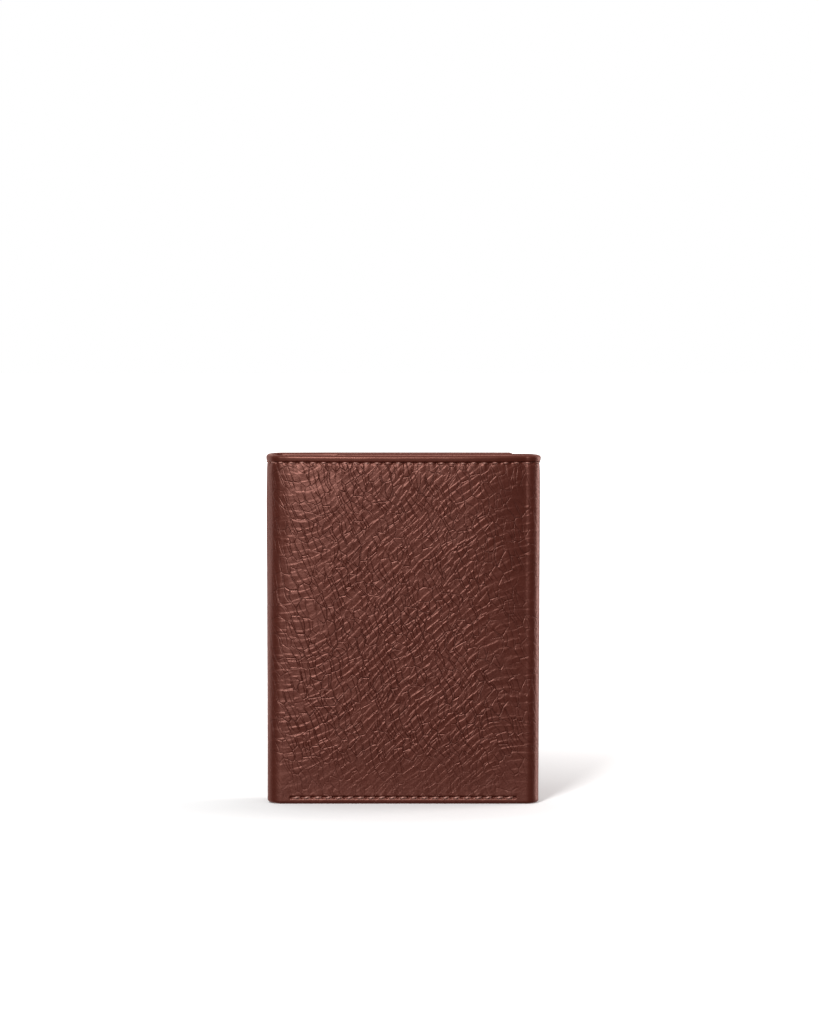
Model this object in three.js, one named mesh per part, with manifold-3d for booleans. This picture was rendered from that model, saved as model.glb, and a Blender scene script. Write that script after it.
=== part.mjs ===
// A trifold wallet, closed and standing on its bottom edge. Millimetres, +Z up.
// The origin is under the middle of the closed wallet. The middle panel's outer face looks along -Y.
// The outer flap folds round the left side (-X) and lies at the back. The inner flap folds round the
// right side (+X) and lies between the middle panel and the outer flap.
import * as THREE from 'three';
import { mergeVertices } from 'three/addons/utils/BufferGeometryUtils.js';
import Module from 'manifold-3d';

const wasm = await Module();
wasm.setup();

// Closed size
const WIDTH = 84;
const HEIGHT = 108;

// Layers of one panel, counted inwards from the face of the outer leather
const GAP = 0.3; // between neighbouring pieces
const LEATHER = 1.2;
const TURN_IN = 0.6; // thickness of the skived leather folded over at an edge
const TURN_IN_REACH = 7;
const LINING = 0.3;
const BILL_SPACE = 0.5;
const DIVIDER = 0.5;
const POCKET = 0.5;
const WINDOW = 0.3;
const FRAME = 0.7;

const LINING_DEPTH = LEATHER + GAP;
const DIVIDER_DEPTH = LINING_DEPTH + LINING + BILL_SPACE;
const FIRST_POCKET_DEPTH = DIVIDER_DEPTH + DIVIDER + GAP;
const POCKET_COUNT = 3;
const PANEL = FIRST_POCKET_DEPTH + POCKET_COUNT * POCKET + (POCKET_COUNT - 1) * GAP;
const WINDOW_DEPTH = FIRST_POCKET_DEPTH + POCKET + GAP;
const FRAME_DEPTH = PANEL - FRAME;

// Air between the closed panels. The inner flap's free edge swings through the outer one.
const INNER_AIR = 0.6;
const OUTER_AIR = 3;
const DEPTH = 3 * PANEL + INNER_AIR + OUTER_AIR;

// Folds and free edges
const FRONT_Y = -DEPTH / 2;
const BACK_Y = DEPTH / 2;
const INNER_FLAP_Y = FRONT_Y + 2 * PANEL + INNER_AIR; // outer face of the inner flap
const LEFT_RADIUS = 4.5;
const RIGHT_RADIUS = 4;
const LEFT_FOLD_X = -WIDTH / 2 + LEFT_RADIUS; // where the flat leather starts to bend
const RIGHT_FOLD_X = WIDTH / 2 - RIGHT_RADIUS;
const OUTER_FLAP_EDGE_X = 34.5;
const INNER_FLAP_EDGE_X = -21.3;
const EDGE_CORNER_RADIUS = 3;
const ARC_SEGMENTS = 8;

// Heights
const LINING_BOTTOM = TURN_IN_REACH + GAP;
const LINING_TOP = HEIGHT - TURN_IN_REACH - GAP;
const DIVIDER_BOTTOM = 0.8;
const DIVIDER_TOP = 103;

// Card pockets, from the divider inwards. The first opens highest.
const POCKETS = [
  { level: 'upper', bottom: 15, top: 97 },
  { level: 'middle', bottom: 8, top: 88 },
  { level: 'lower', bottom: DIVIDER_BOTTOM, top: 79 },
];
const POCKET_INSET = 0.5; // from the free edge to the inside pieces
const OUTER_POCKET_WIDTH = 61;
const INNER_POCKET_WIDTH = 58;

// Window pocket on the middle panel
const WINDOW_PANEL_WIDTH = 67;
const SLIP_POCKET_BOTTOM = 8;
const SLIP_POCKET_TOP = 98;
const FRAME_TOP = 96;
const OPENING_WIDTH = 48;
const OPENING_BOTTOM = 12;
const OPENING_TOP = 88;
const OPENING_RADIUS = 3;
const CLEAR_OVERLAP = 4; // the clear sheet behind the frame, past the opening on each side

// Seams
const STITCH = 3.3;
const THREAD_WIDTH = 0.5;
const THREAD_THICKNESS = 0.3;
const THREAD_DIP = 0.15; // how far the thread drops from a stitch's middle to its hole
const THREAD_DEPTH = 0.05; // a stitch's middle under the leather's face
const GROOVE_DEPTH = 0.6;
const GROOVE_WIDTH = THREAD_WIDTH + 2 * GAP;
const TOP_SEAM_Z = HEIGHT - 2.3;
const BOTTOM_SEAM_Z = 2;
const SEAM_INSET = 2; // from a free edge to the seam beside it
const CUTTER_MARGIN = 1; // how far a cutting solid passes the leather it cuts

// Materials

const leather = { color: 0x6a3c33, roughness: 0.5 };
const innerLeather = { color: 0x5a332b, roughness: 0.55 };
const fabric = { color: 0x3d2620, roughness: 0.9 };
const thread = { color: 0x8a5247, roughness: 0.6 };
const clearPlastic = { color: 0xe6ecee, roughness: 0.15, transparent: true, opacity: 0.35 };

// Cutting

function toSolid(geometry) {
  const bare = geometry.clone();
  bare.deleteAttribute('normal');
  bare.deleteAttribute('uv');
  const merged = mergeVertices(bare);
  return new wasm.Manifold(new wasm.Mesh({
    numProp: 3,
    vertProperties: new Float32Array(merged.attributes.position.array),
    triVerts: new Uint32Array(merged.index.array),
  }));
}

function toGeometry(solid) {
  const mesh = solid.getMesh();
  const geometry = new THREE.BufferGeometry();
  geometry.setAttribute('position', new THREE.BufferAttribute(mesh.vertProperties, 3));
  geometry.setIndex(new THREE.BufferAttribute(mesh.triVerts, 1));
  geometry.computeVertexNormals();
  return geometry;
}

function subtract(base, ...cutters) {
  return toGeometry(cutters.reduce((solid, cutter) => solid.subtract(toSolid(cutter)), toSolid(base)));
}

// Shapes. A panel's own frame has the leather's outer face on y = 0 looking along -y, with the other
// layers at larger y. freeSide is -1 or 1 for a panel whose free edge is at its smaller or larger x,
// and 0 for one between two folds.

// An upright rectangle with its left and right corners rounded, starting at the top right
function outline(x0, x1, z0, z1, leftRadius, rightRadius) {
  const shape = new THREE.Shape();
  const corners = [[x1, z1, rightRadius], [x0, z1, leftRadius], [x0, z0, leftRadius], [x1, z0, rightRadius]];
  corners.forEach(([x, z, radius], i) => {
    if (radius > 0) {
      const centreX = x === x0 ? x + radius : x - radius;
      const centreZ = z === z0 ? z + radius : z - radius;
      shape.absarc(centreX, centreZ, radius, (i * Math.PI) / 2, ((i + 1) * Math.PI) / 2, false);
    } else if (i === 0) {
      shape.moveTo(x, z);
    } else {
      shape.lineTo(x, z);
    }
  });
  return shape;
}

function extrudeInwards(shape, depth, thickness) {
  const geometry = new THREE.ExtrudeGeometry(shape, {
    depth: thickness, bevelEnabled: false, curveSegments: 4,
  });
  geometry.rotateX(Math.PI / 2);
  geometry.translate(0, depth + thickness, 0);
  return geometry;
}

function plate(x0, x1, z0, z1, depth, thickness, leftRadius = 0, rightRadius = 0) {
  return extrudeInwards(outline(x0, x1, z0, z1, leftRadius, rightRadius), depth, thickness);
}

function groove(x0, x1, z0, z1) {
  return plate(x0, x1, z0, z1, -CUTTER_MARGIN, CUTTER_MARGIN + GROOVE_DEPTH);
}

function sideSeamX(x0, x1, freeSide) {
  return freeSide < 0 ? x0 + SEAM_INSET : x1 - SEAM_INSET;
}

function levelGroove(x0, x1, z, freeSide) {
  const half = GROOVE_WIDTH / 2;
  const seamX = sideSeamX(x0, x1, freeSide);
  const start = freeSide < 0 ? seamX - half : x0 - CUTTER_MARGIN;
  const end = freeSide > 0 ? seamX + half : x1 + CUTTER_MARGIN;
  return groove(start, end, z - half, z + half);
}

// Outer leather: a skin with its top, bottom and free edges turned in, and a groove for each seam
function shellPanel(x0, x1, freeSide, levelSeams) {
  const leftRadius = freeSide < 0 ? EDGE_CORNER_RADIUS : 0;
  const rightRadius = freeSide > 0 ? EDGE_CORNER_RADIUS : 0;
  const skin = plate(x0, x1, 0, HEIGHT, 0, LEATHER + TURN_IN, leftRadius, rightRadius);
  const hollow = plate(
    freeSide < 0 ? x0 + TURN_IN_REACH : x0 - CUTTER_MARGIN,
    freeSide > 0 ? x1 - TURN_IN_REACH : x1 + CUTTER_MARGIN,
    TURN_IN_REACH, HEIGHT - TURN_IN_REACH, LEATHER, PANEL,
  );
  const grooves = levelSeams.map((z) => levelGroove(x0, x1, z, freeSide));
  if (freeSide !== 0) {
    const half = GROOVE_WIDTH / 2;
    const seamX = sideSeamX(x0, x1, freeSide);
    grooves.push(groove(seamX - half, seamX + half, BOTTOM_SEAM_Z - half, TOP_SEAM_Z + half));
  }
  return subtract(skin, hollow, ...grooves);
}

// One layer of a fold: a quarter ring round an upright axis, from the -x to the -y direction
function quarterRing(outerRadius, thickness, z0, z1) {
  const shape = new THREE.Shape();
  shape.absarc(0, 0, outerRadius, Math.PI, 1.5 * Math.PI, false);
  shape.absarc(0, 0, outerRadius - thickness, 1.5 * Math.PI, Math.PI, true);
  const geometry = new THREE.ExtrudeGeometry(shape, {
    depth: z1 - z0, bevelEnabled: false, curveSegments: ARC_SEGMENTS,
  });
  geometry.translate(0, 0, z0);
  return geometry;
}

// A seam's thread along +x, which drops a little at each hole
function seamThread(length) {
  const count = Math.max(1, Math.round(length / STITCH));
  const halfStitch = length / count / 2;
  const face = Array.from({ length: 2 * count + 1 }, (_, i) => [
    i * halfStitch,
    THREAD_DEPTH + (i % 2 === 0 ? THREAD_DIP : 0),
  ]);
  const back = face.map(([x, y]) => [x, y + THREAD_THICKNESS]).reverse();
  const shape = new THREE.Shape([...face, ...back].map(([x, y]) => new THREE.Vector2(x, y)));
  const geometry = new THREE.ExtrudeGeometry(shape, { depth: THREAD_WIDTH, bevelEnabled: false });
  geometry.translate(0, 0, -THREAD_WIDTH / 2);
  return geometry;
}

function levelThread(x0, x1, z) {
  return seamThread(x1 - x0).translate(x0, 0, z);
}

function uprightThread(x, z0, z1) {
  return seamThread(z1 - z0).rotateY(-Math.PI / 2).translate(x, 0, z0);
}

// A band of one width along the left, bottom and right sides of the window frame
function threeSidedBand(inset, width, depth, thickness) {
  const outer = WINDOW_PANEL_WIDTH / 2 - inset;
  const bottom = DIVIDER_BOTTOM + inset;
  const inner = outer - width;
  const top = FRAME_TOP - inset;
  const shape = new THREE.Shape([
    new THREE.Vector2(-outer, top),
    new THREE.Vector2(-outer, bottom),
    new THREE.Vector2(outer, bottom),
    new THREE.Vector2(outer, top),
    new THREE.Vector2(inner, top),
    new THREE.Vector2(inner, bottom + width),
    new THREE.Vector2(-inner, bottom + width),
    new THREE.Vector2(-inner, top),
  ]);
  return extrudeInwards(shape, depth, thickness);
}

// The leather frame round the clear window, with a groove for its seam on the inside face
function windowFrame() {
  const half = WINDOW_PANEL_WIDTH / 2;
  const shape = outline(-half, half, DIVIDER_BOTTOM, FRAME_TOP, 0, 0);
  shape.holes.push(outline(
    -OPENING_WIDTH / 2, OPENING_WIDTH / 2, OPENING_BOTTOM, OPENING_TOP,
    OPENING_RADIUS, OPENING_RADIUS,
  ));
  const grooveDepth = THREAD_THICKNESS + THREAD_DEPTH + THREAD_DEPTH;
  const cutter = threeSidedBand(
    SEAM_INSET - GAP, GROOVE_WIDTH, PANEL - grooveDepth, grooveDepth + CUTTER_MARGIN,
  );
  return subtract(extrudeInwards(shape, FRAME_DEPTH, FRAME), cutter);
}

// Assembly. A group carries one panel's or fold's own frame.

const wallet = new THREE.Group();

function place(x, y, turn) {
  const group = new THREE.Group();
  group.position.set(x, y, 0);
  group.rotation.z = turn;
  wallet.add(group);
  return group;
}

function add(group, name, geometry, finish) {
  const mesh = new THREE.Mesh(geometry, new THREE.MeshStandardMaterial({ metalness: 0, ...finish }));
  mesh.name = name;
  group.add(mesh);
}

// Outer leather, lining and divider of one flat stretch
function addLayers(group, name, x0, x1, freeSide, levelSeams) {
  const left = freeSide < 0 ? 1 : 0;
  const right = freeSide > 0 ? 1 : 0;
  const tuck = TURN_IN_REACH + GAP;
  add(group, `${name}_shell`, shellPanel(x0, x1, freeSide, levelSeams), leather);
  add(group, `${name}_lining`, plate(
    x0 + left * tuck, x1 - right * tuck, LINING_BOTTOM, LINING_TOP, LINING_DEPTH, LINING,
  ), fabric);
  add(group, `${name}_divider`, plate(
    x0 + left * POCKET_INSET, x1 - right * POCKET_INSET,
    DIVIDER_BOTTOM, DIVIDER_TOP, DIVIDER_DEPTH, DIVIDER,
  ), innerLeather);
}

function addMiddlePanel() {
  const group = place(0, FRONT_Y, 0);
  const x0 = LEFT_FOLD_X + GAP;
  const x1 = RIGHT_FOLD_X - GAP;
  const half = WINDOW_PANEL_WIDTH / 2;
  addLayers(group, 'center', x0, x1, 0, [TOP_SEAM_Z, BOTTOM_SEAM_Z]);
  add(group, 'center_top_thread', levelThread(x0, x1, TOP_SEAM_Z), thread);
  add(group, 'center_bottom_thread', levelThread(x0, x1, BOTTOM_SEAM_Z), thread);
  add(group, 'id_slip_pocket', plate(
    -half, half, SLIP_POCKET_BOTTOM, SLIP_POCKET_TOP, FIRST_POCKET_DEPTH, POCKET,
  ), innerLeather);
  const clearHalf = OPENING_WIDTH / 2 + CLEAR_OVERLAP;
  add(group, 'id_window', plate(
    -clearHalf, clearHalf, OPENING_BOTTOM - CLEAR_OVERLAP, OPENING_TOP + CLEAR_OVERLAP,
    WINDOW_DEPTH, WINDOW,
  ), clearPlastic);
  add(group, 'id_frame', windowFrame(), innerLeather);
  add(group, 'id_frame_thread', threeSidedBand(
    SEAM_INSET, THREAD_WIDTH, PANEL - THREAD_DEPTH - THREAD_THICKNESS, THREAD_THICKNESS,
  ), thread);
}

function addSpine(name, x, y0, y1, turn) {
  const group = place(x, (y0 + y1) / 2, turn);
  const half = (y1 - y0) / 2 - GAP;
  addLayers(group, name, -half, half, 0, [TOP_SEAM_Z]);
  add(group, `${name}_top_thread`, levelThread(-half, half, TOP_SEAM_Z), thread);
}

// A flap's own frame is turned half round, so its free side there is the opposite of the model's
function addFlap(name, y, foldX, edgeX, pocketWidth) {
  const group = place(0, y, Math.PI);
  const freeSide = Math.sign(foldX - edgeX);
  const fold = -foldX + freeSide * GAP;
  const edge = -edgeX;
  const x0 = Math.min(fold, edge);
  const x1 = Math.max(fold, edge);
  addLayers(group, name, x0, x1, freeSide, [TOP_SEAM_Z, BOTTOM_SEAM_Z]);

  const outerSide = edge - freeSide * POCKET_INSET;
  const foldSide = outerSide - freeSide * pocketWidth;
  POCKETS.forEach(({ level, bottom, top }, i) => {
    add(group, `${name}_pocket_${level}`, plate(
      Math.min(outerSide, foldSide), Math.max(outerSide, foldSide), bottom, top,
      FIRST_POCKET_DEPTH + i * (POCKET + GAP), POCKET,
    ), innerLeather);
  });

  const seamX = sideSeamX(x0, x1, freeSide);
  const clear = THREAD_WIDTH / 2 + GAP;
  const start = freeSide < 0 ? seamX + clear : x0;
  const end = freeSide > 0 ? seamX - clear : x1;
  add(group, `${name}_top_thread`, levelThread(start, end, TOP_SEAM_Z), thread);
  add(group, `${name}_bottom_thread`, levelThread(start, end, BOTTOM_SEAM_Z), thread);
  add(group, `${name}_side_thread`, uprightThread(seamX, BOTTOM_SEAM_Z, TOP_SEAM_Z), thread);
}

function addFold(name, x, y, radius, turn) {
  const group = place(x, y, turn);
  add(group, name, quarterRing(radius, LEATHER, 0, HEIGHT), leather);
  add(group, `${name}_lining`, quarterRing(
    radius - LINING_DEPTH, LINING, LINING_BOTTOM, LINING_TOP,
  ), fabric);
  add(group, `${name}_divider`, quarterRing(
    radius - DIVIDER_DEPTH, DIVIDER, DIVIDER_BOTTOM, DIVIDER_TOP,
  ), innerLeather);
}

addMiddlePanel();
addSpine('left_spine', -WIDTH / 2, FRONT_Y + LEFT_RADIUS, BACK_Y - LEFT_RADIUS, -Math.PI / 2);
addSpine(
  'right_spine', WIDTH / 2, FRONT_Y + RIGHT_RADIUS, INNER_FLAP_Y - RIGHT_RADIUS, Math.PI / 2,
);
addFlap('outer_flap', BACK_Y, LEFT_FOLD_X, OUTER_FLAP_EDGE_X, OUTER_POCKET_WIDTH);
addFlap('inner_flap', INNER_FLAP_Y, RIGHT_FOLD_X, INNER_FLAP_EDGE_X, INNER_POCKET_WIDTH);
addFold('left_front_fold', LEFT_FOLD_X, FRONT_Y + LEFT_RADIUS, LEFT_RADIUS, 0);
addFold('left_rear_fold', LEFT_FOLD_X, BACK_Y - LEFT_RADIUS, LEFT_RADIUS, -Math.PI / 2);
addFold('right_front_fold', RIGHT_FOLD_X, FRONT_Y + RIGHT_RADIUS, RIGHT_RADIUS, Math.PI / 2);
addFold('right_rear_fold', RIGHT_FOLD_X, INNER_FLAP_Y - RIGHT_RADIUS, RIGHT_RADIUS, Math.PI);

export default wallet;
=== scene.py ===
import math

import bpy
import numpy as np
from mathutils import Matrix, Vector


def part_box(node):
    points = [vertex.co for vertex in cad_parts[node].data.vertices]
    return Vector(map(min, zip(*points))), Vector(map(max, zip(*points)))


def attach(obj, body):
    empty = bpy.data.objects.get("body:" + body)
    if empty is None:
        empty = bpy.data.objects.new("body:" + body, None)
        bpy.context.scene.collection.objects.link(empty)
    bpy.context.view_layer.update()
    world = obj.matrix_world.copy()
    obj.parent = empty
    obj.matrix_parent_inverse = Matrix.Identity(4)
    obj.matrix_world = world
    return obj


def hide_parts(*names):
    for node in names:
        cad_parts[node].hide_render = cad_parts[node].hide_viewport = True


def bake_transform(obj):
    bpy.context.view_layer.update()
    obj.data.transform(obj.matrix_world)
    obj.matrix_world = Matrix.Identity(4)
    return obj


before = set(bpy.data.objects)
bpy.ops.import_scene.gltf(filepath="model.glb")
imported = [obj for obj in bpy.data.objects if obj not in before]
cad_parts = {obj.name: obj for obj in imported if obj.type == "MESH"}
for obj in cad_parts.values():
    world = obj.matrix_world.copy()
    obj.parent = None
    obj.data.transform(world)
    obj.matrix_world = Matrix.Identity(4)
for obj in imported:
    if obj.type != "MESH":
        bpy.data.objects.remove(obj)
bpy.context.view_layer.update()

MM = 0.001

# ---------------------------------------------------------------- sizes from the frame, millimetres


def low(node):
    return np.array(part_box(node)[0]) / MM


def high(node):
    return np.array(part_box(node)[1]) / MM


HEIGHT = high("center_shell")[2]
FRONT_Y = low("center_shell")[1]
BACK_Y = high("outer_flap_shell")[1]
INNER_Y = high("inner_flap_shell")[1]
LEFT_X = low("left_spine_shell")[0]
RIGHT_X = high("right_spine_shell")[0]
LEFT_RADIUS = high("left_front_fold")[0] - low("left_front_fold")[0]
RIGHT_RADIUS = high("right_front_fold")[0] - low("right_front_fold")[0]
LEFT_FOLD_X = LEFT_X + LEFT_RADIUS
RIGHT_FOLD_X = RIGHT_X - RIGHT_RADIUS
OUTER_EDGE_X = high("outer_flap_shell")[0]
INNER_EDGE_X = low("inner_flap_shell")[0]

LINING_GAP = 0.3  # from the leather's back to the lining
LEATHER = low("center_lining")[1] - FRONT_Y - LINING_GAP
EDGE_THICKNESS = high("center_shell")[1] - FRONT_Y  # where the edge is turned in
TURN_IN_REACH = 7.0
EDGE_CORNER = 1.4

SEAM_INSET = 2.3  # top seam under the top edge
BOTTOM_SEAM_Z = 2.0
SIDE_SEAM_INSET = 2.0
STITCH = 3.3
TOP_SEAM_PHASE = 0.3  # where a hole of the top seam lies from the middle of the front

# ---------------------------------------------------------------- noise, all seeded

RANDOM_TABLE = np.random.default_rng(20).random((256, 256, 4))


def fade(t):
    return t * t * (3 - 2 * t)


def smoothstep(a, b, x):
    return fade(np.clip((x - a) / (b - a), 0, 1))


def between(a, b, c, d, x):
    """0 up to a, 1 from b to c and 0 again from d on."""
    return smoothstep(a, b, x) * (1 - smoothstep(c, d, x))


def noise(x, y, channel=0):
    """Smooth value noise from -1 to 1."""
    xi, yi = np.floor(x).astype(int), np.floor(y).astype(int)
    fx, fy = fade(x - xi), fade(y - yi)
    table = RANDOM_TABLE[:, :, channel]

    def corner(i, j):
        return table[(xi + i) % 256, (yi + j) % 256]

    bottom = corner(0, 0) * (1 - fx) + corner(1, 0) * fx
    top = corner(0, 1) * (1 - fx) + corner(1, 1) * fx
    return 2 * (bottom * (1 - fy) + top * fy) - 1


def ridges(x, y, channel=0, sharpness=4):
    """Thin ridges, from 0 to 1, where the noise crosses zero."""
    return (1 - np.abs(noise(x, y, channel))) ** sharpness


# ---------------------------------------------------------------- the strip that all layers follow

# The leather runs as one strip from the outer flap's free edge, round the left spine, over the middle
# panel and round the right spine to the inner flap's free edge. Each stretch has its columns, each
# column a point on the leather's outer face in plan, and the face's outward direction there.
# u is the length along the strip, zero at the middle of the front.


def flat(start, end, outward, count):
    t = np.linspace(0, 1, count + 1)[:, None]
    points = np.array(start) + (np.array(end) - np.array(start)) * t
    return points, np.repeat([outward], count + 1, 0).astype(float), math.dist(start, end)


def bend(centre, radius, first_angle, count):
    angle = np.radians(first_angle) + np.linspace(0, math.pi / 2, count + 1)
    outward = np.stack([np.cos(angle), np.sin(angle)], 1)
    return np.array(centre) + radius * outward, outward, math.pi / 2 * (radius - LEATHER / 2)


FOLD_COLUMNS = 20
STRETCHES = {
    "outer_flap": flat((OUTER_EDGE_X, BACK_Y), (LEFT_FOLD_X, BACK_Y), (0, 1), 208),
    "left_rear_fold": bend((LEFT_FOLD_X, BACK_Y - LEFT_RADIUS), LEFT_RADIUS, 90, FOLD_COLUMNS),
    "left_spine": flat((LEFT_X, BACK_Y - LEFT_RADIUS), (LEFT_X, FRONT_Y + LEFT_RADIUS), (-1, 0), 32),
    "left_front_fold": bend((LEFT_FOLD_X, FRONT_Y + LEFT_RADIUS), LEFT_RADIUS, 180, FOLD_COLUMNS),
    "center": flat((LEFT_FOLD_X, FRONT_Y), (RIGHT_FOLD_X, FRONT_Y), (0, -1), 244),
    "right_front_fold": bend((RIGHT_FOLD_X, FRONT_Y + RIGHT_RADIUS), RIGHT_RADIUS, 270, FOLD_COLUMNS),
    "right_spine": flat((RIGHT_X, FRONT_Y + RIGHT_RADIUS), (RIGHT_X, INNER_Y - RIGHT_RADIUS), (1, 0), 12),
    "right_rear_fold": bend((RIGHT_FOLD_X, INNER_Y - RIGHT_RADIUS), RIGHT_RADIUS, 0, FOLD_COLUMNS),
    "inner_flap": flat((RIGHT_FOLD_X, INNER_Y), (INNER_EDGE_X, INNER_Y), (0, 1), 172),
}
FOLD_BODIES = {
    "left_rear_fold": ("outer_flap", "left_spine"),
    "left_front_fold": ("left_spine", "center"),
    "right_front_fold": ("center", "right_spine"),
    "right_rear_fold": ("right_spine", "inner_flap"),
}


def lay_out():
    """Each stretch's columns on one u axis: {name: {"point", "outward", "u"}}."""
    at, found = 0.0, {}
    for name, (points, outward, length) in STRETCHES.items():
        u = at + np.linspace(0, length, len(points))
        found[name] = {"point": points, "outward": outward, "u": u}
        at = u[-1]
    zero = found["center"]["u"][0] - LEFT_FOLD_X
    for part in found.values():
        part["u"] = part["u"] - zero
    return found


STRIP = lay_out()
SPINE_RUNS = ("left_rear_fold", "left_front_fold"), ("right_front_fold", "right_rear_fold")
U_START = STRIP["outer_flap"]["u"][0]
U_END = STRIP["inner_flap"]["u"][-1]


def joined(names):
    """The columns of neighbouring stretches as one run, without the doubled ones."""
    parts = [STRIP[n] for n in names]
    return {
        k: np.concatenate([p[k] if i == 0 else p[k][1:] for i, p in enumerate(parts)])
        for k in ("point", "outward", "u")
    }


def columns_at(run, u):
    """A run's columns at the given values of u."""
    point, outward = (
        np.stack([np.interp(u, run["u"], run[key][:, k]) for k in (0, 1)], -1) for key in ("point", "outward")
    )
    outward /= np.linalg.norm(outward, axis=-1)[..., None]
    return {"point": point, "outward": outward, "u": u}


def resampled(names, count, start, end):
    """A run of stretches with count + 1 columns, evenly spaced from u start to u end."""
    return columns_at(joined(names), start + (end - start) * np.linspace(0, 1, count + 1))


def swell(u, z):
    """How far the whole panel stands out past the flat CAD face: soft crowns between the folds."""
    names = "center", "outer_flap", "inner_flap", "left_spine"
    centre, outer, inner, spine = (STRIP[name]["u"] for name in names)
    left, right = centre[0], centre[-1]
    top = 8.0  # where the front stands out most
    rising = 1 - np.clip((top - u) / (top - left), 0, 1) ** 2.7
    falling = 1 - np.clip((u - top) / (right - top), 0, 1) ** 3
    total = 2.2 * rising * falling * smoothstep(left - 2.6, left + 3.4, u)
    half_spine = (spine[0] + spine[-1]) / 2
    for amount, *ends in (
        (-0.8, left - 9, left - 4.5, left - 2.6, left + 2.4),  # the left fold is pressed flatter
        (0.3, right - 1, right + 4, right + 5, right + 11),
        (0.9, outer[0] - 20, outer[0] + 30, outer[-1] - 16, outer[-1] + 2),
        (0.4, inner[0] - 2, inner[0] + 16, inner[-1] - 25, inner[-1] + 15),
        (0.25, spine[0] - 4, half_spine, half_spine, spine[-1] + 4),
    ):
        total += amount * between(*ends, u)
    drawn_in = 0.36 - 0.36 * smoothstep(-33, -10, u)  # the seam pulls the leather in at the top
    upright = 1 - np.exp(-((np.maximum(z, 0) / 32) ** 1.5))
    upright *= 1 - drawn_in * smoothstep(92, HEIGHT - 3.5, z)
    upright *= 0.8 + 0.75 * smoothstep(35, 125, z)
    waves = 0.07 * noise(u / 19 + 3.1, z / 23 + 1.7, 1) + 0.02 * noise(u / 8, z / 9, 2)
    return total * upright + waves * between(0, 8, HEIGHT - 8, HEIGHT, z)


# ---------------------------------------------------------------- building a layer


def spaced(a, b, step, finer_at=(), reach=1.1, ratio=2.2, multiple=4):
    """Values from a to b about step apart, ratio times closer near each value of finer_at."""
    probe = np.linspace(a, b, 4001)
    density = np.full(probe.shape, 1 / step)
    for centre in finer_at:
        density = np.maximum(density, ratio / step * (np.abs(probe - centre) < reach))
    total = np.concatenate([[0], np.cumsum((density[1:] + density[:-1]) / 2 * np.diff(probe))])
    count = max(multiple, multiple * round(total[-1] / multiple))
    return np.interp(np.linspace(0, total[-1], count + 1), total, probe)


def corner_shift(u, z, spec):
    """How far each point moves along the strip so that the free corners are round."""
    shift = np.zeros(u.shape)
    radius = spec["corner"]
    if radius <= 0:
        return shift
    from_end = np.minimum(z - spec["z0"], spec["z1"] - z)
    inset = radius - np.sqrt(np.maximum(radius**2 - np.maximum(radius - from_end, 0) ** 2, 0))
    reach = 4 * radius
    if "start" in spec["round"]:
        shift = shift + inset * np.clip(1 - (u - spec["u0"]) / reach, 0, 1) ** 2
    if "end" in spec["round"]:
        shift = shift - inset * np.clip(1 - (spec["u1"] - u) / reach, 0, 1) ** 2
    return shift


def edge_distance(u, z, spec):
    """Distance inwards from the layer's rounded edges, round corners included."""
    gaps = {"start": u - spec["u0"], "end": spec["u1"] - u, "bottom": z - spec["z0"], "top": spec["z1"] - z}
    far = np.full(u.shape, 1e3)
    left, right, below, above = (gap if side in spec["round"] else far for side, gap in gaps.items())
    across, along = np.minimum(left, right), np.minimum(below, above)
    nearest = np.minimum(across, along)
    radius = spec["corner"]
    if radius > 0:
        arc = radius - np.hypot(radius - across, radius - along)
        nearest = np.where((across < radius) & (along < radius), arc, nearest)
    return np.maximum(nearest, 0)


def rolled(distance, radius):
    """How far a face drops towards the middle of the thickness where its edge is rounded over."""
    return radius - np.sqrt(np.maximum(radius**2 - np.maximum(radius - distance, 0) ** 2, 0))


def tangents(columns):
    return np.stack([-columns["outward"][:, 1], columns["outward"][:, 0]], 1)


def grid_points(columns, rows, depth_of, spec, side):
    """Points of one face, rows by columns, and u and z at each."""
    u = np.repeat(columns["u"][None, :], len(rows), 0)
    z = np.repeat(rows[:, None], len(columns["u"]), 1)
    shift = corner_shift(u, z, spec)
    at = u + shift
    roll = rolled(edge_distance(at, z, spec), spec["round_radius"])
    out = swell(at, z) - (depth_of(at, z) + (roll if side == "near" else -roll))
    xy = columns["point"][None] + tangents(columns)[None] * shift[:, :, None]
    xy = xy + columns["outward"][None] * out[:, :, None]
    lift = spec["lift"](at, z) if "lift" in spec else 0.0
    points = np.concatenate([xy, (z + lift)[:, :, None]], 2)
    return points, at, z


def grid_normals(points, sign):
    along = np.gradient(points, axis=1)
    up = np.gradient(points, axis=0)
    normal = np.cross(along, up) * sign
    return normal / np.maximum(np.linalg.norm(normal, axis=2), 1e-12)[:, :, None]


def border(rows, columns, first):
    """Vertex numbers round a grid, anticlockwise seen from outside."""
    at = first + np.arange(rows * columns).reshape(rows, columns)
    return np.concatenate([at[0, :-1], at[:-1, -1], at[-1, :0:-1], at[:0:-1, 0]])


def grid_faces(rows, columns, first, flip):
    at = first + np.arange(rows * columns).reshape(rows, columns)
    quads = np.stack([at[:-1, :-1], at[:-1, 1:], at[1:, 1:], at[1:, :-1]], -1).reshape(-1, 4)
    return quads[:, ::-1] if flip else quads


def bridge(fine, coarse, factor):
    """Faces between the near face's border and the far face's border, which has fewer points."""
    faces = []
    total, half = len(coarse), factor // 2
    for j in range(total):
        a, b = coarse[j], coarse[(j + 1) % total]
        run = [fine[(j * factor + k) % len(fine)] for k in range(factor + 1)]
        if factor == 1:
            faces.append((run[1], run[0], a, b))
            continue
        faces += [(run[k + 1], run[k], a if k < half else b) for k in range(factor)]
        faces.append((run[half], a, b))
    return faces


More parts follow.
